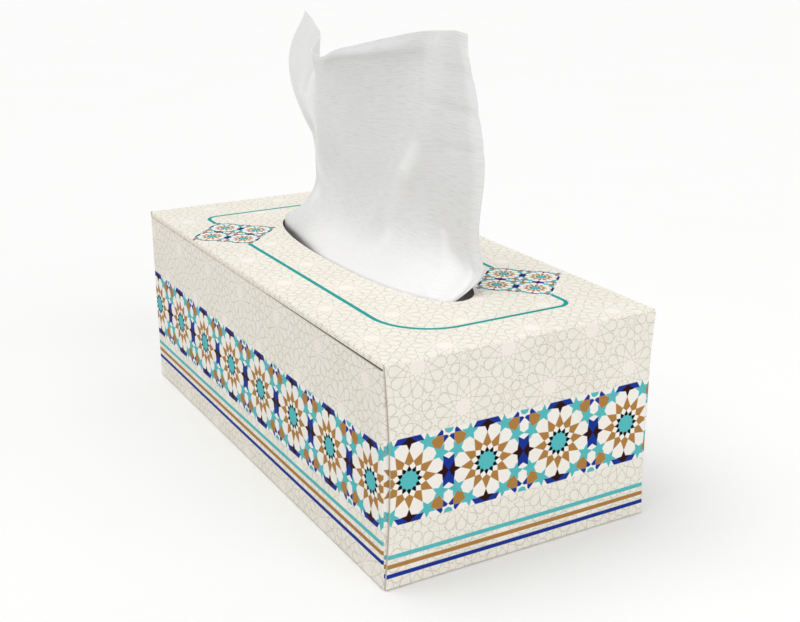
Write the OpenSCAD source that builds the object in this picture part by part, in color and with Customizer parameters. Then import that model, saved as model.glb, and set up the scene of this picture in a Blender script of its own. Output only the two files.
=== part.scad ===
// Tissue box: a folded board carton with an oval mouth in its top, the stack of interfolded
// tissues inside it, and one tissue drawn up through the mouth.
// Millimetres, +Z up. The origin is at the centre of the bottom face, with the long side along X.

/* [Carton] */
// Length of the carton, along X
box_l = 230; // [210:1:260]
// Width of the carton, along Y
box_w = 113.5; // [104:0.5:130]
// Height of the carton
box_h = 83; // [72:1:110]
// Thickness of the folding board
board = 0.5; // [0.4:0.05:0.7]
// Outer radius of the board at a fold
fold_r = 1.2; // [1:0.1:1.8]

/* [Flaps] */
// Depth of the seam below the top edge of the front long side
seam_drop = 2.5; // [2:0.1:5]
// Width of the glue flap that turns down behind the seam
glue_flap = 16; // [10:1:24]
// Shortening of the glue flap at each end
glue_inset = 6; // [3:1:12]
// How far the side edges of an end flap curve in at mid height
flap_bow = 2; // [0.5:0.1:4]
// Clear strip between the free edge of an end flap and the fold that it meets
flap_gap = 0.5; // [0.3:0.1:2]
// Reach of a dust flap in from its side panel
dust_reach = 45; // [25:1:48]
// Slope of a dust flap's two edges, from its fold to its free edge
dust_taper = 6; // [2:1:12]

/* [Mouth] */
// Length of the oval mouth, along X
mouth_l = 146; // [126:1:170]
// Width of the oval mouth, along Y
mouth_w = 39.5; // [32:0.5:46]
// Fullness of the oval: 2 is an ellipse, and more is squarer
mouth_full = 2.2; // [2:0.1:2.6]

/* [Stack] */
// Height of the stack of tissues
stack_h = 60; // [20:1:66]
// Clearance between the stack and the board around it
stack_gap = 2; // [1:0.5:5]
// Rounding of the stack's folded long edges
stack_r = 4; // [2:0.5:8]

/* [Tissue] */
// Height of the tissue's highest point above the carton
tissue_rise = 96.5; // [75:0.5:110]
// Thickness of the two loose plies together
tissue_t = 0.6; // [0.4:0.1:0.9]
// Clearance between the tissue and the board and stack beside it
tissue_gap = 0.3; // [0.2:0.05:0.5]
// Height over which the tissue draws in from the mouth's front edge
flare_h = 24; // [16:1:34]
// How far the far end of the tissue turns back like a dog ear
ear_turn = 12; // [4:1:18]
// How far the top edge rolls over towards the front
top_roll = 8; // [3:0.5:10]
// How far the rim of the top edge curls back again
rim_curl = 3.5; // [1:0.5:5]
// Height of the soft ridge that runs down the tissue
ridge = 3.5; // [1:0.5:5]
// Width of the strip that turns back behind the tissue's near edge
return_w = 26; // [14:1:34]
// Radius of that turn
return_r = 3; // [2:0.5:5]
// Length of the tissue's tail that lies on the stack, in front of the mouth
tail = 30; // [15:1:32]

/* [Hidden] */
$fn = 48;
eps = 0.01;

// Where the layers of an end close lie, from the outside in
outer_x = box_l / 2;
inner_x = outer_x - board;
dust_x = inner_x - board;
dust_back_x = dust_x - board;

// Where the tissue's tail lies, and how far its middle stays from the mouth's edge
stack_top = board + stack_h;
tail_z = stack_top + tissue_gap + tissue_t / 2;
mouth_clear = tissue_gap + tissue_t;

// Inset of the tissue's far edge from the mouth's end, from the mouth up to the tip
far_inset = mouth_l / 100 * [2, 16.5, 16.5, 8, -3, -10, -11.5, -7, 0.7];
// Inset of the tissue's near fold from the mouth's end, from the mouth up to the corner
near_inset = mouth_l / 100 * [2, 5.6, 6.9, 6.5, 6.2, 7.2, 8.2, 8.9, 8.9];
// Drop of the top edge below its highest point, from the far tip to the near fold
edge_drop = tissue_rise / 100 * [3.1, 10.4, 16.1, 17.6, 13, 9.1, 5.1, 1.5, 0];

// Plan of the standing sheet: the middle of its hollow, and how far the hollow's near side comes forward
hollow_y = -mouth_w / 8;
hollow_rise = mouth_l / 5.5;

// Where the tissue starts to cross the mouth's near end, and how far it has crossed at the tip
cross_x = mouth_l * 0.42;
cross_y = mouth_w * 0.15;

// The strip behind the near fold: how far it turns, its width at the mouth and on the tail, and its slope
return_angle = 165;
return_foot = return_w * 0.15;
return_tail = return_w * 0.1;
return_drop = return_w * 0.23;

// Grid of the tissue: columns across and behind the near fold, rows above the mouth and below it
main_count = 32;
strip_count = 10;
last_col = main_count + strip_count;
up_count = 28;
down_count = 8;
last_row = up_count + down_count;

function mix(a, b, t) = a + (b - a) * t;
function ease(t) = let (c = max(0, min(1, t))) c * c * (3 - 2 * c);
function bump(t) = exp(-t * t);

// Smooth curve through evenly spaced values, for t from 0 to 1
function spline(p, t) =
    let (n = len(p) - 1)
    let (i = max(0, min(n - 1, floor(t * n))))
    let (f = t * n - i)
    let (a = p[max(0, i - 1)], b = p[i], c = p[i + 1], d = p[min(n, i + 2)])
    b + 0.5 * f * (c - a + f * (2 * a - 5 * b + 4 * c - d + f * (3 * (b - c) + d - a)));

// Rectangle centred on the first axis and standing on the second, with round corners
module round_rect(w, h, r) {
    translate([-w / 2 + r, 0]) square([w - 2 * r, h]);
    translate([-w / 2, r]) square([w, h - 2 * r]);
    for (x = [-w / 2 + r, w / 2 - r])
        for (y = [r, h - r])
            translate([x, y]) circle(r);
}

// Wall of the folded sleeve, one board thick
module sleeve_ring(w, h) {
    difference() {
        round_rect(w, h, fold_r);
        translate([0, board]) round_rect(w - 2 * board, h - 2 * board, fold_r - board);
    }
}

// Lays a section in Y and Z along X, centred on the origin
module along_x(length) {
    rotate([90, 0, 90])
        translate([0, 0, -length / 2])
            linear_extrude(length) children();
}

// Oval of the mouth, cut in the top panel
function oval_part(c) = sign(c) * pow(abs(c), 2 / mouth_full);
module mouth_oval() {
    polygon([for (a = [0:3:357]) [mouth_l / 2 * oval_part(cos(a)), mouth_w / 2 * oval_part(sin(a))]]);
}

// Top panel and its turned-down glue flap, one board inside the front panel's seam
module top_and_flap_section(flap) {
    intersection() {
        translate([board / 2, 0]) sleeve_ring(box_w - board, box_h);
        translate([-box_w / 2, box_h - flap]) square([fold_r * 3, flap]);
    }
}

// Four panels of the sleeve: the front one stops at the seam below the top edge
module sleeve() {
    length = 2 * dust_x;
    intersection() {
        along_x(length) {
            difference() {
                sleeve_ring(box_w, box_h);
                translate([-box_w / 2 - eps, box_h - seam_drop]) square([fold_r * 3, seam_drop + eps]);
            }
            top_and_flap_section(seam_drop + 2 * board);
        }
        linear_extrude(box_h)
            translate([0, -box_w / 2]) round_rect(length, box_w, fold_r);
    }
    along_x(length - 2 * glue_inset) top_and_flap_section(glue_flap);
}

// Outline of an end flap in Y and Z, with side edges that curve in at mid height
module end_flap_outline(low, high) {
    half = box_w / 2 - board;
    rise = [for (i = [0:24]) box_h * i / 24];
    intersection() {
        polygon(concat(
            [for (z = rise) [half - flap_bow * sin(180 * z / box_h), z]],
            [for (i = [24:-1:0]) [-half + flap_bow * sin(180 * rise[i] / box_h), rise[i]]]
        ));
        translate([-box_w / 2, low]) square([box_w, high - low]);
    }
}

// Plate of board in Y and Z, with its back face at x
module end_plate(x) {
    translate([x, 0, 0])
        rotate([90, 0, 90])
            linear_extrude(board) children();
}

// Dust flap folded in from the side panel at +Y, up to a height
module dust_flap(high) {
    low = board + flap_gap;
    translate([dust_x - fold_r, box_w / 2 - fold_r, low])
        linear_extrude(high - low)
            intersection() {
                difference() {
                    circle(fold_r);
                    circle(fold_r - board);
                }
                square(fold_r);
            }
    end_plate(dust_back_x)
        polygon([
            [box_w / 2 - fold_r, low],
            [box_w / 2 - fold_r, high],
            [box_w / 2 - dust_reach, high - dust_taper],
            [box_w / 2 - dust_reach, low + dust_taper]
        ]);
}

// Glued close of the end at +X: dust flaps, the inner flap from the bottom and the outer one from the top
module end_close() {
    dust_flap(box_h - board - flap_gap);
    mirror([0, 1, 0]) dust_flap(box_h - seam_drop - flap_gap);
    intersection() {
        union() {
            end_plate(dust_x) end_flap_outline(0, box_h - board - flap_gap);
            end_plate(inner_x) end_flap_outline(flap_gap, box_h);
            end_plate(dust_x) end_flap_outline(box_h - board, box_h);
        }
        translate([0, box_w / 2, 0])
            rotate([90, 0, 0])
                linear_extrude(box_w) round_rect(box_l, box_h, fold_r);
    }
}

// The folded and glued blank
module carton() {
    color([0.95, 0.93, 0.88])
        difference() {
            union() {
                sleeve();
                end_close();
                mirror([1, 0, 0]) end_close();
            }
            translate([0, 0, box_h - board - 1]) linear_extrude(board + 2) mouth_oval();
        }
}

// Interfolded tissues, with their folds along the long sides
module tissue_stack() {
    length = 2 * (dust_back_x - stack_gap);
    width = box_w - 4 * board - 2 * stack_gap;
    color([0.97, 0.97, 0.96])
        translate([0, 0, board])
            along_x(length) round_rect(width, stack_h, stack_r);
}

// Y of the tissue where it passes the mouth: along the front edge, further in near its far end, and
// across the near end
function foot_y(x) =
    let (a = mouth_l / 2 - mouth_clear, b = mouth_w / 2 - mouth_clear)
    let (share = max(0, 1 - pow(abs(x) / a, mouth_full)))
    mouth_w / 11 * bump((x + mouth_l / 3.3) / (mouth_l / 6))
    + cross_y * ease((x - cross_x) / (mouth_l * 0.06))
    - b * pow(share, 1 / mouth_full);

// Share by which the tissue has drawn in from the mouth's edge, at a height z above the mouth. Along the
// front edge it opens out like a trumpet, and at both ends it rises upright first.
function drawn_in(s, x, z) =
    let (reach = flare_h * (1 + 0.5 * ease((s - 0.1) / 0.3) - 0.95 * ease(4 * s - 3)))
    let (t = max(0, min(1, z / reach)), u = x / mouth_l)
    mix(ease(t), 1 - pow(1 - t, 2.2), ease(8 * u + 4 / 3) * ease(4.5 - 10 * u));

// Y of the standing sheet at x, at a share h of its height
function panel_y(x, h) =
    let (u = x / mouth_l)
    hollow_y
    + hollow_rise * pow(max(0, u + 0.25), 2)
    + ear_turn * ease((-0.22 - u) / mix(0.32, 0.165, h))
    - top_roll * ease((h - 0.5) / 0.5) * bump((u - 0.05) / 0.25)
    + rim_curl * ease((h - 0.93) / 0.07) * bump((u - 0.1) / 0.25)
    - ridge * bump((u - mix(0.04, 0.385, h)) / 0.06) * ease(h * 4);

// Point of the standing sheet: s runs from the far edge to the near fold, h from the mouth to the top
function standing(s, h) =
    let (z = h * (tissue_rise - spline(edge_drop, s)))
    let (far = -mouth_l / 2 + spline(far_inset, h), near = mouth_l / 2 - spline(near_inset, h))
    let (x = mix(far, near, s))
    [x, mix(foot_y(x), panel_y(x, h), drawn_in(s, x, z)), box_h + z];

// Point of the tail: d runs from the mouth down to the edge that lies on the stack
function hanging(s, d) =
    let (x = mix(-mouth_l / 2 + far_inset[0], mouth_l / 2 - near_inset[0], s))
    let (drop = 1 - pow(1 - d, 2))
    [
        x * (1 + 0.06 * d),
        mix(foot_y(x), -mouth_w / 2 - tail, d * d),
        mix(box_h, tail_z, drop)
    ];

// Point of the sheet up to the near fold: v is below 0 under the mouth and above 0 over it
function front_sheet(s, v) = v < 0 ? hanging(s, -v) : standing(s, v);

// Step along a turn of radius r that starts along +X, and straight on after the turn
function turn_step(l, r, angle) =
    let (a = min(angle, l / r * 180 / PI), rest = max(0, l - r * angle * PI / 180))
    [r * sin(a) + rest * cos(a), r * (1 - cos(a)) + rest * sin(a), 0];

// Point of the strip behind the near fold, at a share b of its width
function back_strip(b, v) =
    let (fold = front_sheet(1, v), across = fold - front_sheet(0.98, v))
    let (along = atan2(across[1], across[0]), h = max(0, v))
    let (low = mix(return_foot, return_tail, ease(-2 * v)))
    let (high = mix(return_foot, return_w, ease(h / 0.4)))
    let (step = turn_step(b * (v < 0 ? low : high), return_r, return_angle))
    fold + [
        step[0] * cos(along) - step[1] * sin(along),
        step[0] * sin(along) + step[1] * cos(along),
        -return_drop * b * h
    ];

// Middle of the whole sheet: c counts columns from the far edge, v is the height as above
function sheet(c, v) =
    c <= main_count ? front_sheet(c / main_count, v) : back_strip((c - main_count) / strip_count, v);

// Height of a row, with the rows over the mouth closest together just above it
function row_v(j) = j < down_count ? j / down_count - 1 : pow((j - down_count) / up_count, 1.5);

// Direction that the front of the sheet faces
function facing(c, v) =
    let (e = 0.2, f = 0.01)
    let (across = sheet(min(last_col, c + e), v) - sheet(max(0, c - e), v))
    let (up = sheet(c, min(1, v + f)) - sheet(c, max(-1, v - f)))
    let (n = cross(across, up))
    n / norm(n);

// One face of the sheet, row by row, half a thickness to one side of its middle
function sheet_face(side) = [
    for (j = [0:last_row])
        for (i = [0:last_col])
            sheet(i, row_v(j)) + side * tissue_t / 2 * facing(i, row_v(j))
];
function front(i, j) = j * (last_col + 1) + i;
function back(i, j) = front(i, j) + (last_col + 1) * (last_row + 1);
function quad(a, b, c, d) = [[a, b, c], [a, c, d]];

// The tissue as one closed thin sheet
module popup_tissue() {
    faces = [
        for (j = [0:last_row - 1])
            for (i = [0:last_col - 1])
                each concat(
                    quad(front(i, j), front(i, j + 1), front(i + 1, j + 1), front(i + 1, j)),
                    quad(back(i, j), back(i + 1, j), back(i + 1, j + 1), back(i, j + 1))
                ),
        for (i = [0:last_col - 1])
            each concat(
                quad(front(i, 0), front(i + 1, 0), back(i + 1, 0), back(i, 0)),
                quad(front(i + 1, last_row), front(i, last_row), back(i, last_row), back(i + 1, last_row))
            ),
        for (j = [0:last_row - 1])
            each concat(
                quad(front(0, j + 1), front(0, j), back(0, j), back(0, j + 1)),
                quad(front(last_col, j), front(last_col, j + 1), back(last_col, j + 1), back(last_col, j))
            )
    ];
    color([0.93, 0.93, 0.93])
        polyhedron(points = concat(sheet_face(1), sheet_face(-1)), faces = faces);
}

carton();
tissue_stack();
popup_tissue();
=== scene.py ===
"""Dresses the packed tissue box: the printed carton, the stack of tissues in it, and the tissue
that stands up out of its mouth, on a plain stage."""

import math

import bpy
import numpy as np
from bpy.props import FloatProperty, FloatVectorProperty, IntProperty, PointerProperty
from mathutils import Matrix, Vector, noise


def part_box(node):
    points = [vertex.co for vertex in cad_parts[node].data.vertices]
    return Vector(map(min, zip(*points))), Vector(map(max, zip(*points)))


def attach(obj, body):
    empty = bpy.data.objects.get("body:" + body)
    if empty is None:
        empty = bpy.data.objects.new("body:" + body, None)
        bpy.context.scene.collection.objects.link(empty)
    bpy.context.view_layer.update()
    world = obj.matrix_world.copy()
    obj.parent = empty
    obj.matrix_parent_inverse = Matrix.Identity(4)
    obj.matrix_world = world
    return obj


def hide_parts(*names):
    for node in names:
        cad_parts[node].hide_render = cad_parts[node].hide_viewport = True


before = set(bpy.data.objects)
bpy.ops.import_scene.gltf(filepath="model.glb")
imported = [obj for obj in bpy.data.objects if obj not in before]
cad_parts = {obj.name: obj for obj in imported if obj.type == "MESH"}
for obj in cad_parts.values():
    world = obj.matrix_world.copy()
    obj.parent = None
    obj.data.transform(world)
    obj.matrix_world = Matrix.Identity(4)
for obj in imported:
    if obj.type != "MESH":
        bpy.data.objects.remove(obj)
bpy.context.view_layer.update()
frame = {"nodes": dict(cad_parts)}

bl_info = {
    "name": "Tissue box",
    "version": (1, 0, 0),
    "blender": (4, 5, 0),
    "location": "View3D > Sidebar > Tissue box",
    "description": "Makes a printed tissue carton, its tissues and a plain stage",
    "category": "Object",
}

MM = 0.001

# What the pack gives: its bounds, the carton's upper corner and the stack's two corners
BOX_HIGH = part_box("carton")[1]
STACK_LOW, STACK_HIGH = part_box("tissue_stack")

# Height of the glued seam in the long side
SEAM_Z = BOX_HIGH[2] - 2.5 * MM

# Material slots of the carton; the last one is the painted shade of the seam
LONG_SIDE, SHORT_END, TOP, BOTTOM, BARE, SEAM_SHADE = range(6)

# One star of the ground's thin lines on each printed panel
SIDE_STAR, END_STAR = (-4.0 * MM, 74.0 * MM), (-8.5 * MM, 80.2 * MM)
TOP_STAR, BOTTOM_STAR = (20.0 * MM, -48.0 * MM), (0.0, 0.0)

# Rounded line on the top: its two corners, and the radii of its wide and tight bends
FRAME_LOW, FRAME_HIGH = (-89.8 * MM, -38.05 * MM), (95.6 * MM, 33.0 * MM)
FRAME_WIDE, FRAME_TIGHT = 22.5 * MM, 5.5 * MM

# Middles of the two diamonds on the top, and half their side in rosettes
DIAMONDS, DIAMOND_REACH = ((-57.8 * MM, -37.0 * MM), (62.8 * MM, 32.4 * MM)), 0.985

# Softness of a printed line's edge
INK_EDGE = 0.15 * MM

# Broad lights: name, the property that holds the strength, and side and height in degrees
LIGHTS = (("high_light", "high", 242, 70), ("low_light", "low", 17, 20), ("back_light", "back", 107, 50))


def ink(red, green, blue):
    """Colour on screen, from 0 to 255, as the light values that Blender's sockets take."""
    parts = [c / 255 for c in (red, green, blue)]
    return tuple(c / 12.92 if c < 0.04045 else ((c + 0.055) / 1.055) ** 2.4 for c in parts)


def colour(name, description, *screen):
    """Colour property, with its default as seen on screen."""
    return FloatVectorProperty(
        name=name, description=description, subtype="COLOR", size=3, min=0, max=1, default=ink(*screen)
    )


def length(name, description, millimetres):
    """Length property, with its default in millimetres."""
    return FloatProperty(
        name=name, description=description, default=millimetres * MM, unit="LENGTH", precision=5
    )


def strength(name, description, default):
    """Property for the strength of a light."""
    return FloatProperty(name=name, description=description, default=default, min=0)


def angle(name, description, degrees):
    """Angle property, with its default in degrees."""
    return FloatProperty(name=name, description=description, default=math.radians(degrees), subtype="ANGLE")


class CartonLook(bpy.types.PropertyGroup):
    """Print and board of the carton"""

    card: colour("Card", "Printed ground of the board", 241, 237, 226)
    tile_white: colour("Tile white", "Palest tiles of the star bands", 245, 241, 234)
    turquoise: colour("Turquoise", "Stars and upper stripe", 88, 188, 192)
    ochre: colour("Ochre", "Kites, hexagons and middle stripe", 176, 128, 66)
    navy: colour("Navy", "Fish, small kites and lower stripe", 24, 54, 150)
    maroon: colour("Maroon", "Four-pointed stars between the rosettes", 46, 16, 18)
    black: colour("Black", "Twelve-pointed ring in each rosette", 8, 5, 7)
    line: colour("Ground line", "Thin star lines of the ground", 200, 194, 180)
    flower: colour("Ground flower", "Filled middle of each star of the ground", 245, 240, 230)
    frame: colour("Frame line", "Rounded line round the top", 26, 158, 154)
    # Painted shade: a dark board colour on a strip over the long side's seam, standing in for the shadow of a
    # gap that the mesh doesn't open
    seam: colour("Seam", "Board in the open seam of the long side", 92, 86, 78)
    board: colour("Bare board", "Unprinted inside and cut edges of the board", 205, 199, 186)
    side_pitch: length("Side pitch", "From rosette to rosette on the long sides", 30.65)
    side_first: length("Side rosette", "Place along X of one rosette on the long sides", 14.0)
    side_band: length("Side band", "Height of the middle of the band on the long sides", 38.4)
    side_stripe: length("Side stripe", "Height of the middle stripe on the long sides", 14.4)
    end_pitch: length("End pitch", "From rosette to rosette on the short ends", 30.77)
    end_first: length("End rosette", "Place along Y of one rosette on the short ends", -16.44)
    end_band: length("End band", "Height of the middle of the band on the short ends", 40.2)
    end_stripe: length("End stripe", "Height of the middle stripe on the short ends", 9.2)
    stripe_step: length("Stripe step", "From stripe to stripe", 3.6)
    stripe_width: length("Stripe width", "Width of a stripe", 1.65)
    ground_pitch: length("Ground pitch", "From star to star of the thin lines", 25.17)
    ground_line: length("Ground line width", "Width of the ground's thin lines", 0.22)
    diamond_pitch: length("Diamond pitch", "From rosette to rosette in the top's two diamonds", 14.8)
    frame_width: length("Frame line width", "Width of the line round the top", 1.75)
    # Height at the near corner of the strip of painted seam shade
    seam_shade_height: length("Seam shade height", "Height of the open seam at the near corner", 0.6)
    bulge: length("Bulge", "How far the middle of each panel stands out", 0.5)


class TissueLook(bpy.types.PropertyGroup):
    """Paper of the standing tissue and of the stack"""

    # Painted shade: the paper's colour where the painted light is 0, as in the band under the upper edge
    paper: colour("Paper", "Colour of the tissue in its hollows", 232, 232, 232)
    # Painted highlight on the ridge, the creases, the facet below the ear and the flared base
    painted_light: colour("Pale paper", "Colour of the paper at its creases and where drawn smooth", 255, 255, 255)
    # Painted shadow on the paper down in the mouth and along the far rim
    shade: colour("Shaded paper", "Colour of the paper down in the mouth", 96, 95, 94)
    crepe: length("Crepe", "From line to line of the paper's fine creping", 0.5)
    wrinkle: length("Wrinkle", "Height of the soft wrinkles", 0.9)
    ply: length("Ply", "Thickness of the sheet", 0.25)
    glow: FloatProperty(
        name="Glow", description="Share of light that passes through the sheet", default=0.08, min=0, max=1,
        subtype="FACTOR",
    )
    columns: IntProperty(name="Columns", description="Grid across the sheet's front", default=150, min=40)
    rows: IntProperty(name="Rows", description="Grid up the standing sheet", default=120, min=40)


class StageLook(bpy.types.PropertyGroup):
    """Floor, light and camera"""

    floor: colour("Floor", "Pale floor", 246, 246, 246)
    sky: strength("Sky", "Strength of the even light all round", 0.42)
    high: strength("High light", "Strength of the broad light overhead", 1.7)
    low: strength("Low light", "Strength of the broad light in front", 0.92)
    back: strength("Back light", "Strength of the broad light behind", 0.25)
    spread: angle("Spread", "Width of each light", 60)
    lens: FloatProperty(name="Lens", description="Focal length in millimetres", default=53.97, min=10)
    eye: FloatVectorProperty(
        name="Eye", description="Place of the camera", size=3, subtype="XYZ", unit="LENGTH",
        default=(0.4263, -0.2279, 0.2233),
    )
    turn: angle("Turn", "Camera's turn round Z", 60.34)
    dip: angle("Dip", "Camera's dip", 18.94)


# Short calls that add nodes to a tree

class Wiring:
    """Adds nodes to one tree, each fed by sockets or by plain values."""

    def __init__(self, tree):
        self.tree = tree

    def feed(self, socket, value):
        if isinstance(value, bpy.types.NodeSocket):
            self.tree.links.new(value, socket)
        elif value is not None:
            socket.default_value = value

    def node(self, kind, *values, **settings):
        made = self.tree.nodes.new("ShaderNode" + kind)
        for key, value in settings.items():
            setattr(made, key, value)
        for socket, value in zip(made.inputs, values):
            self.feed(socket, value)
        return made

    def math(self, operation, *values, clamp=False):
        return self.node("Math", *values, operation=operation, use_clamp=clamp).outputs[0]

    def hypot(self, x, y):
        return self.math("SQRT", self.math("ADD", self.math("MULTIPLY", x, x), self.math("MULTIPLY", y, y)))

    def dot(self, vector, plane):
        return self.node("VectorMath", vector, plane, operation="DOT_PRODUCT").outputs["Value"]

    def join(self, x=0.0, y=0.0, z=0.0):
        return self.node("CombineXYZ", x, y, z).outputs[0]

    def split(self, vector):
        return self.node("SeparateXYZ", vector).outputs

    def place(self, vector, location=(0, 0, 0), rotation=(0, 0, 0), scale=(1, 1, 1)):
        return self.node("Mapping", vector, location, rotation, scale).outputs[0]

    def blend(self, share, under, over, way="MIX"):
        mixed = self.node("Mix", data_type="RGBA", blend_type=way)
        for name, value in (("Factor_Float", share), ("A_Color", under), ("B_Color", over)):
            if isinstance(value, tuple):
                value = (*value[:3], 1.0)
            self.feed(next(s for s in mixed.inputs if s.identifier == name), value)
        return next(s for s in mixed.outputs if s.identifier == "Result_Color")

    def cover(self, distance, edge, softness):
        """1 where distance is more than edge, with a soft step."""
        return self.math("MULTIPLY_ADD", distance, 1 / softness, 0.5 - edge / softness, clamp=True)

    def within(self, distance, edge, softness):
        """1 where distance is less than edge, with a soft step."""
        return self.math("SUBTRACT", 1.0, self.cover(distance, edge, softness))

    def above(self, value, floor, gain):
        """How far a value stands over a floor, times a gain, from 0 to 1."""
        return self.math("MULTIPLY", self.math("SUBTRACT", value, floor), gain, clamp=True)

    def noise(self, vector, scale, detail=2.0, rough=0.5):
        made = self.node("TexNoise", vector)
        for name, value in (("Scale", scale), ("Detail", detail), ("Roughness", rough)):
            made.inputs[name].default_value = value
        return made.outputs[0]

    def dress(self, shader, grain, strength, depth):
        """Feeds a surface shader from a grain group's outputs, and returns the bumped normal."""
        bump = self.node("Bump")
        bump.inputs["Strength"].default_value = strength
        bump.inputs["Distance"].default_value = depth
        self.feed(bump.inputs["Height"], grain["Height"])
        self.feed(shader.inputs["Base Color"], grain["Color"])
        self.feed(shader.inputs["Roughness"], grain["Roughness"])
        self.feed(shader.inputs["Normal"], bump.outputs[0])
        return bump.outputs[0]

    def group(self, tree, **values):
        made = self.tree.nodes.new("ShaderNodeGroup")
        made.node_tree = tree
        for key, value in values.items():
            if isinstance(value, (tuple, list)) and len(value) == 3 and made.inputs[key].type == "RGBA":
                value = (*value, 1.0)
            self.feed(made.inputs[key], value)
        return made.outputs


def new_group(name, inputs, outputs):
    """Empty node group with its named sockets, and the wiring inside it."""
    tree = bpy.data.node_groups.new(name, "ShaderNodeTree")
    for way, sockets in (("INPUT", inputs), ("OUTPUT", outputs)):
        for label, kind in sockets.items():
            tree.interface.new_socket(label, in_out=way, socket_type="NodeSocket" + kind)
    given = tree.nodes.new("NodeGroupInput").outputs
    wiring = Wiring(tree)

    def put_out(**values):
        result = tree.nodes.new("NodeGroupOutput")
        for label, value in values.items():
            wiring.feed(result.inputs[label], value)
        return tree

    return wiring, given, put_out


def new_material(name):
    """Material with its surface shader, and the wiring inside it."""
    material = bpy.data.materials.new(name)
    material.use_nodes = True
    shader = material.node_tree.nodes["Principled BSDF"]
    return material, Wiring(material.node_tree), shader


# The print: star tiles, thin ground lines and stripes

def left_of(a, b):
    """Plane that gives a point's distance to the left of the line from a to b."""
    run, rise = b[0] - a[0], b[1] - a[1]
    size = math.hypot(run, rise)
    across, up = -rise / size, run / size
    return (across, up, -across * a[0] - up * a[1])


def star_tiles():
    """Group that lays the star tiles. A rosette stands at each whole number of Vector's X and Y.
    Each tile is the left of a chain of lines, on a plane folded along the pattern's mirrors, and the
    points of the chains are in shares of the step from rosette to rosette."""
    w, given, put_out = new_group(
        "Star tiles",
        {"Vector": "Vector", "White": "Color", "Turquoise": "Color", "Ochre": "Color", "Navy": "Color",
         "Maroon": "Color", "Black": "Color"},
        {"Color": "Color", "Edge": "Float", "Middle": "Float"},
    )
    x, y, _ = w.split(given["Vector"])
    x, y = w.math("PINGPONG", x, 0.5), w.math("PINGPONG", y, 0.5)
    far, near = w.math("MAXIMUM", x, y), w.math("MINIMUM", x, y)
    square = w.join(far, near, 1.0)

    def turned(x, y, start, half):
        """Folds the plane round its origin into a slice of half an angle."""
        out = w.hypot(x, y)
        way = w.math("PINGPONG", w.math("ADD", w.math("ARCTAN2", y, x), start), half)
        return w.join(
            w.math("MULTIPLY", out, w.math("COSINE", way)), w.math("MULTIPLY", out, w.math("SINE", way)), 1.0
        )

    def inside(vector, *chain):
        """Distance into the tile that lies to the left of a chain of points."""
        depth = None
        for a, b in zip(chain, chain[1:]):
            one = w.dot(vector, left_of(a, b))
            depth = one if depth is None else w.math("MINIMUM", depth, one)
        return depth

    # Slices of the twelve-pointed rosette, of the five-pointed star beside it, and of the corner's boss
    twelfth, fifth, five_at = math.radians(15), math.radians(36), (0.3945, 0.231)
    ray = turned(far, near, 0.0, twelfth)
    tip = math.cos(twelfth), math.sin(twelfth)
    five = turned(w.math("ADD", far, -five_at[0]), w.math("ADD", near, -five_at[1]), math.radians(5), fifth)
    corner = w.join(w.math("SUBTRACT", 0.5, near), w.math("SUBTRACT", 0.5, far), 1.0)

    ring = inside(ray, (0.166, 0), (0.117 * tip[0], 0.117 * tip[1]))
    disc = inside(ray, (0.096, 0), (0.120 * tip[0], 0.120 * tip[1]))
    kite = inside(ray, (0.337, 0), (0.2100, 0.0550), (0.171, 0))
    petal = inside(ray, (0.2028, 0.0544), (0.3285, 0.0104), (0.4101, 0.0343), (0.4298, 0.1152))
    arm = inside(square, (0.4265, 0.095), (0.4187, 0.029))
    arm = w.math("MAXIMUM", arm, inside(square, (0.4187, 0.029), (0.349, 0)))
    cross = w.math("MINIMUM", arm, inside(square, (0.497, 0), (0.4265, 0.095)))
    fish = inside(square, (0.5, 0.139), (0.430, 0.184), (0.430, 0.0895), (0.499, -0.002))
    star = inside(five, (0.108, 0), (0.0413, 0.0300))
    hexagon = inside(square, (0.309, 0.309), (0.385, 0.279), (0.4285, 0.341), (0.4285, 0.4285))
    blank = inside(square, (0.5, 0.401), (0.432, 0.338), (0.432, 0.246), (0.5, 0.238))
    dart = inside(
        square, (0.434, 0.3445), (0.494, 0.403), (0.4715, 0.4235), (0.434, 0.4235), (0.434, 0.3445)
    )
    boss = inside(corner, (0.057, 0), (0.0403, 0.0403))

    shade, overlap, softness = given["White"], 0.003, 0.006
    for depth, ink_name in (
        (star, "Turquoise"), (hexagon, "Ochre"), (dart, "Navy"), (boss, "Turquoise"), (fish, "Navy"),
        (cross, "Maroon"), (kite, "Ochre"), (ring, "Black"), (disc, "Turquoise"),
    ):
        shade = w.blend(w.cover(depth, -overlap, softness), shade, given[ink_name])
    edge = None
    for depth in (ring, kite, petal, cross, fish, star, hexagon, blank, dart, boss):
        away = w.math("ABSOLUTE", depth)
        edge = away if edge is None else w.math("MINIMUM", edge, away)
    return put_out(Color=shade, Edge=edge, Middle=ring)


def board_grain():
    """Group for the board's own look: faint mottling, short fibres and uneven gloss."""
    w, given, put_out = new_group(
        "Board grain", {"Vector": "Vector", "Color": "Color"},
        {"Color": "Color", "Roughness": "Float", "Height": "Float"},
    )
    cloud = w.noise(given["Vector"], 38.0, 3.0, 0.6)
    fibre = w.noise(w.place(given["Vector"], scale=(1, 0.35, 1)), 2600.0, 3.0, 0.65)
    shade = w.blend(w.above(cloud, 0.45, 0.5), given["Color"], ink(232, 228, 218), "MULTIPLY")
    shade = w.blend(w.above(fibre, 0.5, 1.2), shade, ink(218, 213, 204), "MULTIPLY")
    rough = w.math("MULTIPLY_ADD", fibre, 0.22, w.math("MULTIPLY_ADD", cloud, 0.12, 0.42))
    return put_out(Color=shade, Roughness=rough, Height=w.math("MULTIPLY_ADD", cloud, 3.0, fibre))


def plain(tone):
    """Colour property's value as a plain tuple, which sockets take."""
    return tuple(tone)


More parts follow.
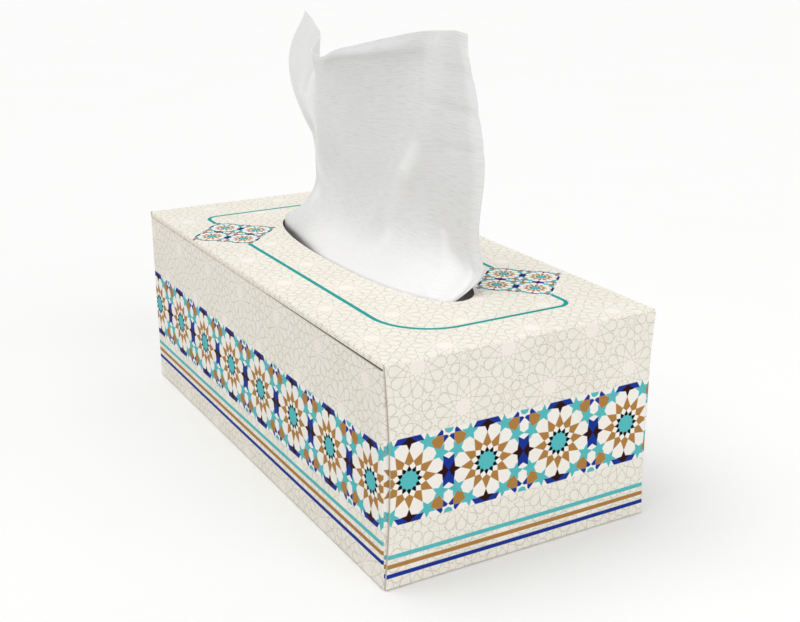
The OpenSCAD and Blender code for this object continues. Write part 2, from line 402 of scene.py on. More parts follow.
class Press:
    """Prints the carton's materials from the shared groups."""

    def __init__(self, look):
        self.look = look
        self.tiles = star_tiles()
        self.grain = board_grain()
        tones = {
            "White": look.tile_white, "Turquoise": look.turquoise, "Ochre": look.ochre, "Navy": look.navy,
            "Maroon": look.maroon, "Black": look.black,
        }
        self.inks = {label: plain(tone) for label, tone in tones.items()}

    def start(self, name, across, up):
        """Material whose panel lies along two of the object's axes, given as letters."""
        self.material, self.w, self.shader = new_material(name)
        self.object = self.w.node("TexCoord").outputs["Object"]
        axes = dict(zip("XYZ", self.w.split(self.object)))
        self.across, self.up = axes[across], axes[up]
        self.panel = self.w.join(self.across, self.up)

    def ground(self, star):
        """Card with the thin star lines, one star of which stands at a given place."""
        w, look = self.w, self.look
        turned = w.place(
            w.place(self.panel, location=(-star[0], -star[1], 0)),
            rotation=(0, 0, math.radians(45)), scale=(1 / look.ground_pitch,) * 3,
        )
        tiles = w.group(self.tiles, Vector=turned)
        half = look.ground_line / 2 / look.ground_pitch
        lines = w.within(tiles["Edge"], half, half * 1.2)
        shade = w.blend(w.cover(tiles["Middle"], -0.03, 0.01), plain(look.card), plain(look.flower))
        ragged = w.math("MULTIPLY_ADD", w.noise(self.object, 420.0), 0.9, 0.3, clamp=True)
        return w.blend(w.math("MULTIPLY", lines, ragged), shade, plain(look.line))

    def band(self, shade, first, middle, pitch):
        """Band of rosettes across a wall, one rosette high and drawn a little tall."""
        w, tall = self.w, pitch * 1.026
        start, scale = (-first / pitch, -middle / tall, 0), (1 / pitch, 1 / tall, 1)
        spot = w.place(self.panel, location=start, scale=scale)
        tiles = w.group(self.tiles, Vector=spot, **self.inks)["Color"]
        height = w.math("ABSOLUTE", w.split(spot)[1])
        return w.blend(w.within(height, 0.5, 0.006), shade, tiles)

    def stripes(self, shade, middle):
        """Three stripes along a wall, the middle one at a given height."""
        w, look = self.w, self.look
        for step, tone in ((1, look.turquoise), (0, look.ochre), (-1, look.navy)):
            away = w.math("ABSOLUTE", w.math("SUBTRACT", self.up, middle + step * look.stripe_step))
            shade = w.blend(w.within(away, look.stripe_width / 2, INK_EDGE), shade, plain(tone))
        return shade

    def frame_line(self, shade):
        """Rounded line round the top, with two wide and two tight corners."""
        w = self.w
        centre = [(a + b) / 2 for a, b in zip(FRAME_LOW, FRAME_HIGH)]
        half = [(b - a) / 2 for a, b in zip(FRAME_LOW, FRAME_HIGH)]
        x, y = w.math("SUBTRACT", self.across, centre[0]), w.math("SUBTRACT", self.up, centre[1])
        crossed = w.math("LESS_THAN", w.math("MULTIPLY", x, y), 0.0)
        radius = w.math("MULTIPLY_ADD", crossed, FRAME_WIDE - FRAME_TIGHT, FRAME_TIGHT)
        out_x = w.math("ADD", w.math("SUBTRACT", w.math("ABSOLUTE", x), half[0]), radius)
        out_y = w.math("ADD", w.math("SUBTRACT", w.math("ABSOLUTE", y), half[1]), radius)
        past = w.hypot(w.math("MAXIMUM", out_x, 0.0), w.math("MAXIMUM", out_y, 0.0))
        within = w.math("MINIMUM", w.math("MAXIMUM", out_x, out_y), 0.0)
        away = w.math("ABSOLUTE", w.math("SUBTRACT", w.math("ADD", past, within), radius))
        return w.blend(w.within(away, self.look.frame_width / 2, INK_EDGE), shade, plain(self.look.frame))

    def diamonds(self, shade):
        """Two diamonds of two by two rosettes each, turned by an eighth."""
        w, pitch = self.w, self.look.diamond_pitch
        near = w.math("GREATER_THAN", self.across, 0.0)
        x, y = (
            w.math("SUBTRACT", place, w.math("MULTIPLY_ADD", near, two - one, one))
            for place, one, two in zip((self.across, self.up), *DIAMONDS)
        )
        turned = w.place(w.join(x, y), rotation=(0, 0, math.radians(45)), scale=(1 / pitch,) * 3)
        tiles = w.group(self.tiles, Vector=w.place(turned, location=(0.5, 0.5, 0)), **self.inks)["Color"]
        side_x, side_y, _ = w.split(turned)
        side = w.math("MAXIMUM", w.math("ABSOLUTE", side_x), w.math("ABSOLUTE", side_y))
        return w.blend(w.within(side, DIAMOND_REACH, 0.012), shade, tiles)

    def finish(self, shade):
        """Lays the print on the board's grain and gives the material its gloss."""
        grain = self.w.group(self.grain, Vector=self.object, Color=shade)
        self.w.dress(self.shader, grain, strength=0.12, depth=0.05 * MM)
        self.shader.inputs["Specular IOR Level"].default_value = 0.05
        return self.material

    def long_side(self):
        look = self.look
        self.start("printed_long_side", "X", "Z")
        shade = self.ground(SIDE_STAR)
        shade = self.band(shade, look.side_first, look.side_band, look.side_pitch)
        return self.finish(self.stripes(shade, look.side_stripe))

    def short_end(self):
        look = self.look
        self.start("printed_short_end", "Y", "Z")
        shade = self.ground(END_STAR)
        shade = self.band(shade, look.end_first, look.end_band, look.end_pitch)
        return self.finish(self.stripes(shade, look.end_stripe))

    def top(self):
        self.start("printed_top", "X", "Y")
        return self.finish(self.diamonds(self.frame_line(self.ground(TOP_STAR))))

    def bottom(self):
        self.start("printed_bottom", "X", "Y")
        return self.finish(self.ground(BOTTOM_STAR))

    def bare(self, name, tone):
        """Unprinted board of one tone, uneven as pulp is."""
        self.start(name, "X", "Y")
        dark = tuple(0.8 * c for c in tone)
        return self.finish(self.w.blend(self.w.noise(self.object, 900.0, 4.0, 0.7), plain(tone), dark))


# Shared steps of modelling

def only(piece):
    """Makes a piece the one selected and active object."""
    bpy.ops.object.select_all(action="DESELECT")
    piece.select_set(True)
    bpy.context.view_layer.objects.active = piece


def cut_at(axis, places):
    """Cuts the mesh in edit mode by planes across one axis."""
    for place in places:
        spot, normal = [0.0, 0.0, 0.0], [0.0, 0.0, 0.0]
        spot[axis], normal[axis] = place, 1.0
        bpy.ops.mesh.select_all(action="SELECT")
        bpy.ops.mesh.bisect(plane_co=spot, plane_no=normal)


def points_of(mesh):
    """Places of a mesh's points, as rows of x, y and z."""
    found = np.empty(len(mesh.vertices) * 3)
    mesh.vertices.foreach_get("co", found)
    return found.reshape(-1, 3)


def move_points(mesh, places):
    """Sets the places of a mesh's points."""
    mesh.vertices.foreach_set("co", np.asarray(places, float).ravel())
    mesh.update()


# Carton

def swell(p, bulge):
    """Lets the middle of each panel stand out a little, the top by less and the bottom not at all."""
    half = np.array([BOX_HIGH[0], BOX_HIGH[1], BOX_HIGH[2] / 2])
    middle = np.array([0.0, 0.0, half[2]])
    q = (p - middle) / half
    rise = 1 - np.clip(np.abs(q), 0, 1) ** 2.5
    out = np.sign(q) * np.abs(q) ** 8
    moved = p.copy()
    for axis, share in ((0, 1.0), (1, 1.0), (2, np.where(q[:, 2] < 0, 0.0, 0.6))):
        one, two = [a for a in range(3) if a != axis]
        moved[:, axis] += bulge * share * out[:, axis] * rise[:, one] * rise[:, two]
    return moved


def seam_shade_top(x, shade_height):
    """Height of the upper edge of the painted seam shade, a dark strip that widens from the middle to the
    near corner.
    """
    return SEAM_Z + shade_height * x / BOX_HIGH[0]


def panel_slot(centre, normal, shade_height):
    """Material slot of a face, by where it lies and which way it looks. The outermost layers of board
    are printed."""
    x, y, z = centre
    in_side = BOX_HIGH[1] - abs(y)
    in_end = BOX_HIGH[0] - abs(x)
    # Painted shade: a strip over the seam on the near half of the long side takes the dark seam colour
    if normal[1] < -0.5 and y < 0 and in_side < 0.9 * MM and SEAM_Z < z < seam_shade_top(x, shade_height):
        return SEAM_SHADE
    if normal[2] > 0.5 and z > BOX_HIGH[2] - 1.3 * MM:
        return TOP
    if normal[2] < -0.5 and z < 1.3 * MM:
        return BOTTOM
    if abs(normal[1]) > 0.5 and normal[1] * y > 0 and in_side < 1.9 * MM and in_end > 0.9 * MM:
        return LONG_SIDE
    if abs(normal[0]) > 0.5 and normal[0] * x > 0 and in_end < 1.6 * MM:
        return SHORT_END
    return BARE


# Places of the carton's panels on its map for baking, in metres of board, by the axis and the sign that a
# panel looks along. The first list is the outside and the second the inside.
MAP_SIDE, MAP_SMALL, MAP_MARGIN = 0.3465, 0.34, 0.5 * MM
MAP_OUTSIDE = {
    (0, 1): (0.2885, 0.0), (0, -1): (0.2885, 0.0845), (1, 1): (0.1155, 0.0845), (1, -1): (0.1155, 0.0),
    (2, 1): (0.1155, 0.2265), (2, -1): (0.26, 0.2),
}
MAP_INSIDE = {
    (0, 1): (0.205, 0.29), (0, -1): (0.255, 0.29), (1, 1): (0.135, 0.29), (1, -1): (0.05, 0.29),
    (2, 1): (0.29, 0.25), (2, -1): (0.29, 0.2),
}


def lay_out_bake(mesh):
    """Map on which the printed walls and top are large, and the bottom and the inside are small."""
    layer = mesh.uv_layers.new(name="OFBake")
    for face in mesh.polygons:
        normal, centre = face.normal, face.center
        axis = max(range(3), key=lambda a: abs(normal[a]))
        sign = 1 if normal[axis] > 0 else -1
        toward = centre[axis] - (BOX_HIGH[2] / 2 if axis == 2 else 0.0)
        outer = sign * toward > 0
        one, two = ((1, 2), (0, 2), (0, 1))[axis]
        size = 1.0 if outer and (axis, sign) != (2, -1) else MAP_SMALL
        left, low = (MAP_OUTSIDE if outer else MAP_INSIDE)[axis, sign]
        for loop in face.loop_indices:
            place = mesh.vertices[mesh.loops[loop].vertex_index].co
            spot = left + place[one] * size, low + place[two] * size
            layer.data[loop].uv = [(part + MAP_MARGIN) / MAP_SIDE for part in spot]


class TISSUEBOX_OT_carton(bpy.types.Operator):
    """Makes the printed carton from the packed one, with swelled panels"""

    bl_idname = "tissue_box.carton"
    bl_label = "Carton"

    def execute(self, context):
        look = context.scene.carton_look
        mesh = frame["nodes"]["carton"].data.copy()
        piece = bpy.data.objects.new("folded_carton", mesh)
        context.scene.collection.objects.link(piece)
        only(piece)
        bpy.ops.mesh.customdata_custom_splitnormals_clear()
        bpy.ops.object.mode_set(mode="EDIT")
        bpy.ops.mesh.select_all(action="SELECT")
        bpy.ops.mesh.remove_doubles(threshold=0.002 * MM)
        bpy.ops.mesh.dissolve_limited(angle_limit=math.radians(0.05))
        cut_at(0, 15 * MM * np.arange(-7, 8))
        cut_at(1, 15 * MM * np.arange(-3, 4))
        cut_at(2, 12 * MM * np.arange(1, 7))
        bpy.ops.mesh.select_all(action="SELECT")
        # Cuts the upper edge of the strip of painted seam shade
        bpy.ops.mesh.bisect(plane_co=(0, 0, SEAM_Z), plane_no=(-look.seam_shade_height / BOX_HIGH[0], 0, 1))
        bpy.ops.object.mode_set(mode="OBJECT")
        press = Press(look)
        mesh.materials.clear()
        for material in (
            press.long_side(), press.short_end(), press.top(), press.bottom(),
            # The last material, for the seam, is painted shade
            press.bare("bare_board", look.board), press.bare("open_seam", look.seam),
        ):
            mesh.materials.append(material)
        for face in mesh.polygons:
            face.material_index = panel_slot(face.center, face.normal, look.seam_shade_height)
        move_points(mesh, swell(points_of(mesh), look.bulge))
        lay_out_bake(mesh)
        bpy.ops.object.shade_smooth_by_angle(angle=math.radians(25))
        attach(piece, "root")
        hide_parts("carton")
        return {"FINISHED"}


# Tissues

def paper_crepe():
    """Group for the paper's creping: fine uneven lines along X of Vector with painted shade in their valleys,
    and soft cloudiness.
    """
    if "Paper crepe" in bpy.data.node_groups:
        return bpy.data.node_groups["Paper crepe"]
    w, given, put_out = new_group(
        "Paper crepe", {"Vector": "Vector", "Pitch": "Float", "Depth": "Float", "Color": "Color"},
        {"Color": "Color", "Height": "Float", "Roughness": "Float"},
    )
    sway = w.math("MULTIPLY", w.noise(given["Vector"], 60.0, 2.0), 0.004)
    x, y, z = w.split(w.place(given["Vector"], rotation=(0, 0, math.radians(6))))
    steps = w.math("DIVIDE", 1.0, given["Pitch"])
    along = w.math("MULTIPLY", x, w.math("MULTIPLY", steps, 0.08))
    across = w.math("MULTIPLY", w.math("ADD", y, sway), steps)
    line = w.noise(w.join(along, across, w.math("MULTIPLY", z, steps)), 1.0, 2.0, 0.55)
    fine = w.noise(given["Vector"], 3200.0, 2.0, 0.6)
    cloud = w.noise(given["Vector"], 90.0, 3.0, 0.6)
    # Painted shade: the valleys of the crepe lines are darkened in colour, over the bump of the creping;
    # Depth sets how dark
    valley_shade = w.math("MULTIPLY", w.math("SUBTRACT", 0.52, line), given["Depth"], clamp=True)
    shade = w.blend(valley_shade, given["Color"], ink(205, 205, 206))
    shade = w.blend(w.above(cloud, 0.5, 0.3), shade, ink(234, 234, 235))
    height = w.math("MULTIPLY_ADD", fine, 0.18, line)
    return put_out(Color=shade, Height=height, Roughness=w.math("MULTIPLY_ADD", fine, 0.15, 0.8))


def paper_material(name, look, crepe, mapped):
    """Soft tissue. mapped names the map that the creping of a single sheet follows, and such a sheet lets
    some light through. A point attribute of painted light and shade runs from 1, painted highlight, through 0
    to -1, painted shadow, and blends the paper's colour that way."""
    material, w, shader = new_material(name)
    spot = w.node("UVMap", uv_map=mapped).outputs[0] if mapped else w.node("TexCoord").outputs["Object"]
    # Painted light and shade: the attribute blends the paper towards the pale colour, a painted highlight, or
    # towards the shaded colour, a painted shadow
    painted_light = w.node("Attribute", attribute_name="Pale").outputs["Fac"]
    tone = w.blend(painted_light, plain(look.paper), plain(look.painted_light))
    tone = w.blend(w.math("MULTIPLY", painted_light, -1.0), tone, plain(look.shade))
    # The crepe's painted valley shade is deeper where the paper has painted shade
    depth = w.math("MULTIPLY_ADD", painted_light, -1.6, 2.0)
    grain = w.group(crepe, Vector=spot, Pitch=look.crepe, Depth=depth, Color=tone)
    normal = w.dress(shader, grain, strength=0.5, depth=0.22 * MM)
    for label, value in (("Specular IOR Level", 0.12), ("Sheen Weight", 0.15), ("Sheen Roughness", 0.5)):
        shader.inputs[label].default_value = value
    if mapped:
        through = w.node("BsdfTranslucent")
        w.feed(through.inputs["Color"], grain["Color"])
        w.feed(through.inputs["Normal"], normal)
        both = w.node("MixShader", look.glow, shader.outputs[0], through.outputs[0])
        w.feed(material.node_tree.nodes["Material Output"].inputs["Surface"], both.outputs[0])
    return material


class TISSUEBOX_OT_stack(bpy.types.Operator):
    """Makes the stack of interfolded tissues inside the carton"""

    bl_idname = "tissue_box.stack"
    bl_label = "Stack"

    def execute(self, context):
        look, size = context.scene.tissue_look, STACK_HIGH - STACK_LOW
        corner, sag, uneven, skin = 4 * MM, 0.9 * MM, 0.5 * MM, 1 * MM
        bpy.ops.object.select_all(action="DESELECT")
        bpy.ops.mesh.primitive_cube_add(size=1, location=(STACK_LOW + STACK_HIGH) / 2, scale=size)
        piece = context.object
        piece.name = piece.data.name = "stacked_tissues"
        bpy.ops.object.transform_apply(location=True, rotation=True, scale=True)
        bpy.ops.object.mode_set(mode="EDIT")
        bpy.ops.mesh.select_all(action="DESELECT")
        bpy.ops.mesh.select_mode(type="EDGE")
        bpy.ops.object.mode_set(mode="OBJECT")
        for edge in piece.data.edges:
            a, b = (piece.data.vertices[i].co for i in edge.vertices)
            edge.select = abs(a[0] - b[0]) > size[0] / 2
        bpy.ops.object.mode_set(mode="EDIT")
        bpy.ops.mesh.bevel(offset=corner, segments=5, affect="EDGES")
        for axis, inset, lines in ((0, 0.0, 46), (1, corner, 22), (2, corner, 14)):
            cut_at(axis, np.linspace(STACK_LOW[axis] + inset, STACK_HIGH[axis] - inset, lines)[1:-1])
        bpy.ops.object.mode_set(mode="OBJECT")
        p = points_of(piece.data)
        for i, spot in enumerate(p):
            soft = noise.noise(Vector((spot[0] * 22, spot[1] * 34, 3.0)))
            leaf = noise.noise(Vector((spot[0] * 9, 7.0, spot[2] * 160)))
            if spot[2] > STACK_HIGH[2] - skin:
                p[i, 2] -= sag * (1 + soft)
            elif spot[2] > STACK_LOW[2] + skin:
                p[i, 1] -= np.sign(spot[1]) * uneven * (1 + leaf)
        move_points(piece.data, p)
        piece.data.materials.append(paper_material("stacked_paper", look, paper_crepe(), None))
        bpy.ops.object.shade_smooth_by_angle(angle=math.radians(40))
        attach(piece, "root")
        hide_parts("tissue_stack")
        return {"FINISHED"}


# Form of the standing tissue

def mix(a, b, t):
    """From a to b by a share t."""
    return a + (b - a) * t


def ease(t):
    """Smooth step from 0 to 1."""
    c = np.clip(t, 0, 1)
    return c * c * (3 - 2 * c)


def bump(t):
    """Smooth hump of height 1 and half width 1."""
    return np.exp(-t * t)


def spline(values, t):
    """Smooth curve through evenly spaced values, for t from 0 to 1."""
    p, n = np.asarray(values, float), len(values) - 1
    i = np.clip(np.floor(t * n).astype(int), 0, n - 1)
    f = t * n - i
    a, b, c, d = p[np.maximum(0, i - 1)], p[i], p[i + 1], p[np.minimum(n, i + 2)]
    return b + 0.5 * f * (c - a + f * (2 * a - 5 * b + 4 * c - d + f * (3 * (b - c) + d - a)))


class Sheet:
    """Form of the standing tissue, in millimetres, with finer folds than its packed solid. A place on its
    front has a share across from the far edge, s or u, and a share up from the mouth, h or v. A share up
    below 0 is in the box."""

    # The mouth, with how full its oval is and how far the sheet stays clear of it
    mouth_l, mouth_w, full, clear = 146.0, 39.5, 2.2, 0.5

    # The carton's height, the sheet's rise over it and its flared foot, and where its lower end lies
    box_h, rise, flare, tail_z, tail = 83.0, 96.5, 24.0, 61.1, 30.0

    # From the mouth up: how far the far and near edges stand in from the mouth's ends, in percent of it
    far_inset = mouth_l / 100 * np.array([1.9, 16.5, 16.5, 8, -3, -10, -11.5, -7, 0.7])
    near_inset = mouth_l / 100 * np.array([1, 5.6, 6.9, 6.5, 6.2, 7.2, 8.2, 8.9, 8.9])

    # From the far edge across: how far the upper edge drops, in percent of the rise
    edge_drop = rise / 100 * np.array([3.1, 10.4, 16.1, 17.6, 13, 9.1, 5.1, 1.5, 0])

    # Turn of the ear at the far edge, roll of the top, ridge down the front and brow under the upper edge
    ear_turn, top_roll, ridge, brow = 12.0, 7.0, 3.0, 3.6

    # Strip that turns round behind the near edge
    return_w, return_r, return_angle = 26.0, 3.0, math.radians(165)

    def foot_y(self, x):
        """Line of the sheet at the mouth: along the front rim, and a little off it in its far half."""
        a, b = self.mouth_l / 2 - self.clear, self.mouth_w / 2 - self.clear
        share = np.maximum(0, 1 - (np.abs(x) / a) ** self.full)
        return (
            self.mouth_w / 18 * bump((x + self.mouth_l / 3.8) / (self.mouth_l / 6.5))
            - b * share ** (1 / self.full)
        )

    def drawn_in(self, s, x, z):
        """Share by which the sheet has drawn in from the mouth's edge at a height z."""
        t = np.clip(z / self.flare / (1 + 0.5 * ease((s - 0.1) / 0.3) - 1.1 * ease(4 * s - 3)), 0, 1)
        u = x / self.mouth_l
        quick = ease(8 * u + 8 / 6) * np.maximum(ease(4.5 - 10 * u), ease(10 * s - 9))
        return mix(ease(t), 1 - (1 - t) ** 2.2, quick)

    def panel_y(self, x, h):
        """Where the sheet stands once it has drawn in."""
        u = x / self.mouth_l
        return (
            -self.mouth_w / 8
            + self.mouth_l / 5.5 * np.maximum(0, u + 0.25) ** 2
            + self.ear_turn * ease((-0.22 - u) / mix(0.32, 0.165, h))
            - self.top_roll * np.maximum(0, (h - 0.55) / 0.45) ** 2 * bump((u - 0.02) / 0.27)
            - self.brow * bump((h - mix(0.975, 0.935, ease(2 * u + 0.5))) / 0.045)
            * bump((u - 0.06) / 0.22)
            - self.ridge * bump((u - mix(0.04, 0.385, h)) / 0.06) * ease(h * 4)
        )

    def standing(self, s, h):
        """Point of the front over the mouth."""
        z = h * (self.rise - spline(self.edge_drop, s))
        x = mix(
            -self.mouth_l / 2 + spline(self.far_inset, h), self.mouth_l / 2 - spline(self.near_inset, h), s
        )
        y = mix(self.foot_y(x), self.panel_y(x, h), self.drawn_in(s, x, z))
        return np.stack([x, y, self.box_h + z], -1)

    def hanging(self, s, d):
        """Point of the front in the box, by a share down to the stack."""
        x = mix(-self.mouth_l / 2 + self.far_inset[0], self.mouth_l / 2 - self.near_inset[0], s)
        drop = 1 - (1 - d) ** 2
        return np.stack([
            x * (1 + 0.06 * d), mix(self.foot_y(x), -self.mouth_w / 2 - self.tail, d * d),
            mix(self.box_h, self.tail_z, drop),
        ], -1)

    def front(self, s, v):
        s, v = np.broadcast_arrays(np.asarray(s, float), np.asarray(v, float))
        below, above = self.hanging(s, np.maximum(-v, 0)), self.standing(s, np.maximum(v, 0))
        return np.where((v < 0)[..., None], below, above)

    def back(self, b, v):
        """Point of the strip behind the near edge, by a share b from that edge."""
        fold = self.front(1.0, v)
        across = fold - self.front(0.98, v)
        along, h = np.arctan2(across[..., 1], across[..., 0]), np.maximum(v, 0)
        run = b * self.return_w * mix(0.03, 1, ease(h / 0.4))
        angle = np.minimum(self.return_angle, run / self.return_r)
        rest = np.maximum(0, run - self.return_r * self.return_angle)
        x = self.return_r * np.sin(angle) + rest * np.cos(angle)
        y = self.return_r * (1 - np.cos(angle)) + rest * np.sin(angle)
        step = [x * np.cos(along) - y * np.sin(along), x * np.sin(along) + y * np.cos(along)]
        return fold + np.stack([*step, -0.23 * self.return_w * b * h], -1)


# Creases of the tissue: points (share across, share up), height and width in millimetres, and painted light,
# positive for a painted highlight and negative for painted shade. In order: the ridge down from the near top
# corner, in three; three hollows across the near edge; two painted highlights at the near foot; the notch
# below the ear and its facet with a painted highlight; the facet's lower edge; and the band of painted shade
# under the upper edge.
CREASES = (
    (((0.955, 0.99), (0.935, 0.89), (0.905, 0.738), (0.838, 0.58), (0.75, 0.432)), 0.6, 2.6, 0.15),
    (((0.825, 0.555), (0.795, 0.498), (0.765, 0.455)), 0.5, 1.6, 0.22),
    (((0.8, 0.51), (0.75, 0.432), (0.695, 0.345), (0.65, 0.232), (0.668, 0.138)), 0.5, 3.2, 0.22),
    (((0.958, 0.865), (1.02, 0.845)), -0.4, 2.0, -0.1),
    (((0.902, 0.738), (0.96, 0.71), (1.02, 0.698)), -0.5, 2.0, -0.15),
    (((0.905, 0.56), (1.02, 0.558)), -0.4, 2.0, -0.1),
    (((0.885, 0.208), (0.905, 0.108)), 0.8, 1.8, 0.4),
    (((0.985, 0.1), (0.998, 0.01)), 0.8, 1.8, 0.4),
    (((0.1, 0.64), (0.155, 0.812), (0.175, 0.872)), -0.8, 1.6, 0.4),
    (((0.19, 0.9), (0.15, 0.72), (0.1, 0.62)), 0.0, 5.0, 0.6),
    (
        ((0.09, 0.62), (0.1, 0.5), (0.19, 0.418), (0.19, 0.352), (0.12, 0.252), (0.09, 0.195)), 0.3, 4.0, 0.4,
    ),
    (((0.44, 0.955), (0.59, 0.935), (0.72, 0.928), (0.86, 0.932)), 0.0, 4.5, -0.45),
)


def crease_height(run, rise, points, width):
    """Height of a crease over the flat sheet, from 0 to 1, by the distance to its line."""
    near = np.full(np.broadcast(run, rise).shape, np.inf)
    for a, b in zip(points, points[1:]):
        way = np.subtract(b, a)
        t = np.clip(((run - a[0]) * way[0] + (rise - a[1]) * way[1]) / (way @ way), 0, 1)
        near = np.minimum(near, np.hypot(run - a[0] - t * way[0], rise - a[1] - t * way[1]))
    return np.exp(-((near / width) ** 2))


def painted_paper_light(share, v):
    """Painted light and shade of the paper: 1, a painted highlight, on the flared base and the facet below
    the ear, 0.4 on the plain front, and -1, a painted shadow, down in the mouth and along the far rim.
    """
    # Painted highlight on the flared base, painted shadow along the far rim and in the mouth, and painted
    # highlight on the ear
    base_highlight = ease((0.26 - v) / 0.22) * ease((share - 0.15) / 0.2) * ease((1.03 - share) / 0.1)
    far_rim_shadow = ease((0.04 - v) / 0.045) * ease((0.5 - share) / 0.15)
    ear = ease((v - 0.45) / 0.2) * ease((0.18 - share) / 0.08)
    return mix(0.4 + 0.7 * base_highlight - 1.3 * far_rim_shadow, -1, ease(-v / 0.06)) + 0.4 * ear


def soft_wrinkles(run, rise):
    """Height of the soft wrinkles at each point of the grid, to either side of 0."""
    heights = np.empty((len(rise), len(run)))
    for j, up in enumerate(rise):
        for i, along in enumerate(run):
            spot = Vector((along / 26, up / 34, 1.7))
            heights[j, i] = noise.noise(spot) + 0.45 * noise.noise(spot * 2.7)
    return heights


def lengths_along(grid, axis):
    """Mean distance of the grid's columns or rows from the first one."""
    steps = np.linalg.norm(np.diff(grid, axis=axis), axis=-1)
    return np.insert(steps.cumsum(axis), 0, 0.0, axis=axis).mean(1 - axis)


def sheet_normals(grid):
    """Outward directions at each point of the grid."""
    across, up = np.gradient(grid, axis=1), np.gradient(grid, axis=0)
    n = np.cross(across, up)
    return n / np.linalg.norm(n, axis=-1, keepdims=True)


def sheet_mesh(name, grid, run, rise, tone):
    """Mesh of a grid in millimetres, with its flat map and the painted light and shade of its paper."""
    rows, columns = grid.shape[:2]
    index = np.arange(rows * columns).reshape(rows, columns)
    faces = np.stack([index[:-1, :-1], index[:-1, 1:], index[1:, 1:], index[1:, :-1]], -1).reshape(-1, 4)
    mesh = bpy.data.meshes.new(name)
    mesh.from_pydata((grid.reshape(-1, 3) * MM).tolist(), [], faces.tolist())
    # Point attribute of the paper's painted light and shade
    mesh.attributes.new("Pale", "FLOAT", "POINT").data.foreach_set("value", tone.ravel())
    layer = mesh.uv_layers.new(name="Sheet")
    spots = np.stack(np.broadcast_arrays(run[None, :], rise[:, None]), -1).reshape(-1, 2) * MM
    corners = np.empty(len(mesh.loops), int)
    mesh.loops.foreach_get("vertex_index", corners)
    layer.data.foreach_set("uv", spots[corners].ravel())
    return mesh


class TISSUEBOX_OT_tissue(bpy.types.Operator):
    """Makes the tissue that stands up out of the mouth"""

    bl_idname = "tissue_box.tissue"
    bl_label = "Tissue"

    def execute(self, context):
        look, form = context.scene.tissue_look, Sheet()
        main, strip, up, down = look.columns, look.columns // 4, look.rows, look.rows // 3
        v = np.concatenate([np.linspace(-1, 0, down, endpoint=False), np.linspace(0, 1, up + 1)])[:, None]
        s = np.linspace(0, 1, main + 1)[None, :]
        b = np.linspace(0, 1, strip + 1)[None, 1:]
        grid = np.concatenate([form.front(s, v), form.back(b, v)], axis=1)
        run, rise = lengths_along(grid, 1), lengths_along(grid, 0)
        # tone holds the paper's painted light and shade, to which each crease adds its painted highlight or
        # shade
        lift, tone = np.zeros(grid.shape[:2]), painted_paper_light(run[None, :] / run[main], v)
        for points, height, width, crease_light_and_shade in CREASES:
            spots = [(c * run[main], np.interp(h, v[down:, 0], rise[down:])) for c, h in points]
            shape = crease_height(run[None, :], rise[:, None], spots, width)
            lift += height * shape
            tone += crease_light_and_shade * shape
        lift += look.wrinkle / MM * soft_wrinkles(run, rise) * ease((v - 0.02) / 0.25)
        grid += sheet_normals(grid) * lift[..., None]
        mesh = sheet_mesh("standing_tissue", grid, run, rise, np.clip(tone, -1, 1))
        piece = bpy.data.objects.new("standing_tissue", mesh)
        context.scene.collection.objects.link(piece)
        only(piece)
        thick = piece.modifiers.new("Ply", "SOLIDIFY")
        thick.thickness, thick.offset = look.ply, 0.0
        bpy.ops.object.modifier_apply(modifier="Ply")
        mesh.materials.append(paper_material("tissue_paper", look, paper_crepe(), "Sheet"))
        bpy.ops.object.shade_smooth_by_angle(angle=math.radians(60))
        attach(piece, "root")
        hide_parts("popup_tissue")
        return {"FINISHED"}


# Stage

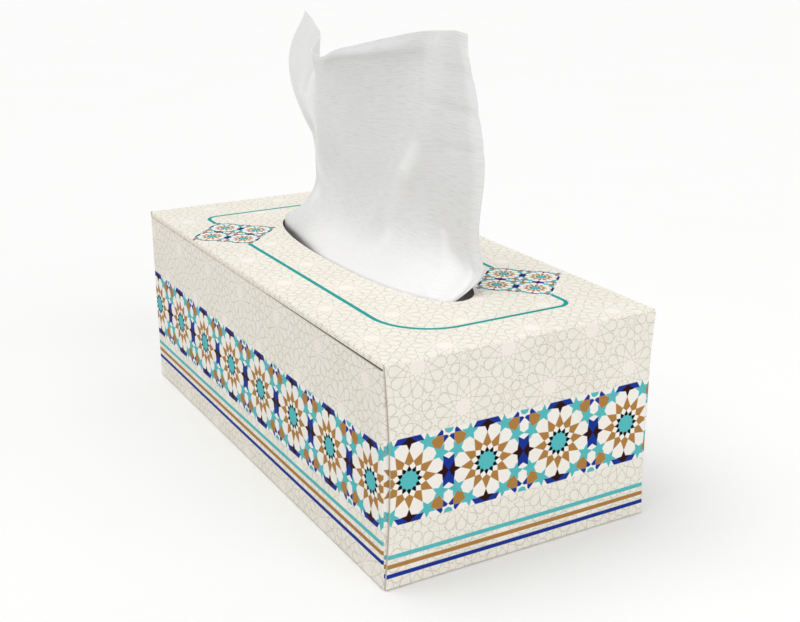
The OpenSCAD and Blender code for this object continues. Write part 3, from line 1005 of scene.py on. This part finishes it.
class TISSUEBOX_OT_stage(bpy.types.Operator):
    """Sets the floor, the soft light and the camera"""

    bl_idname = "tissue_box.stage"
    bl_label = "Stage"

    def execute(self, context):
        look, scene = context.scene.stage_look, context.scene
        bpy.ops.object.select_all(action="DESELECT")
        bpy.ops.mesh.primitive_plane_add(size=60, location=(0, 0, 0))
        floor = context.object
        floor.name = "floor"
        material, w, shader = new_material("pale_floor")
        spot = w.node("TexCoord").outputs["Object"]
        tone = w.blend(w.noise(spot, 9.0, 4.0), plain(look.floor), ink(244, 244, 243))
        w.feed(shader.inputs["Base Color"], tone)
        shader.inputs["Roughness"].default_value = 0.75
        shader.inputs["Specular IOR Level"].default_value = 0.2
        floor.data.materials.append(material)
        for name, power, side, raised in LIGHTS:
            bpy.ops.object.light_add(type="SUN", rotation=(0, math.radians(90 - raised), math.radians(side)))
            light = context.object
            light.name = name
            light.data.energy, light.data.angle = getattr(look, power), look.spread
        scene.world = bpy.data.worlds.new("even_sky")
        scene.world.use_nodes = True
        sky = scene.world.node_tree.nodes["Background"]
        sky.inputs["Color"].default_value = (1, 1, 1, 1)
        sky.inputs["Strength"].default_value = look.sky
        bpy.ops.object.camera_add(location=look.eye, rotation=(math.pi / 2 - look.dip, 0, look.turn))
        camera = context.object
        camera.name = "photo_view"
        camera.data.lens, camera.data.sensor_width = look.lens, 36.0
        camera.data.sensor_fit = "HORIZONTAL"
        camera.data.clip_start = 0.01
        scene.camera = camera
        scene.view_settings.view_transform = "Standard"
        return {"FINISHED"}


class TISSUEBOX_PT_panel(bpy.types.Panel):
    """Lists the pieces of the tissue box"""

    bl_label = "Tissue box"
    bl_idname = "TISSUEBOX_PT_panel"
    bl_space_type = "VIEW_3D"
    bl_region_type = "UI"
    bl_category = "Tissue box"

    def draw(self, context):
        for step in STEPS:
            self.layout.operator(step.bl_idname)
        for group in LOOKS:
            self.layout.label(text=group.__doc__)
            for name in group.__annotations__:
                self.layout.prop(getattr(context.scene, LOOKS[group]), name)


LOOKS = {CartonLook: "carton_look", TissueLook: "tissue_look", StageLook: "stage_look"}
STEPS = (TISSUEBOX_OT_carton, TISSUEBOX_OT_tissue, TISSUEBOX_OT_stack, TISSUEBOX_OT_stage)


def register():
    for part in (*LOOKS, *STEPS, TISSUEBOX_PT_panel):
        bpy.utils.register_class(part)
    for group, name in LOOKS.items():
        setattr(bpy.types.Scene, name, PointerProperty(type=group))


def unregister():
    for name in LOOKS.values():
        delattr(bpy.types.Scene, name)
    for part in reversed((*LOOKS, *STEPS, TISSUEBOX_PT_panel)):
        bpy.utils.unregister_class(part)


def main():
    register()
    bpy.ops.tissue_box.carton()
    bpy.ops.tissue_box.tissue()
    bpy.ops.tissue_box.stack()
    bpy.ops.tissue_box.stage()
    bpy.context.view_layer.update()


if __name__ == "__main__":
    main()
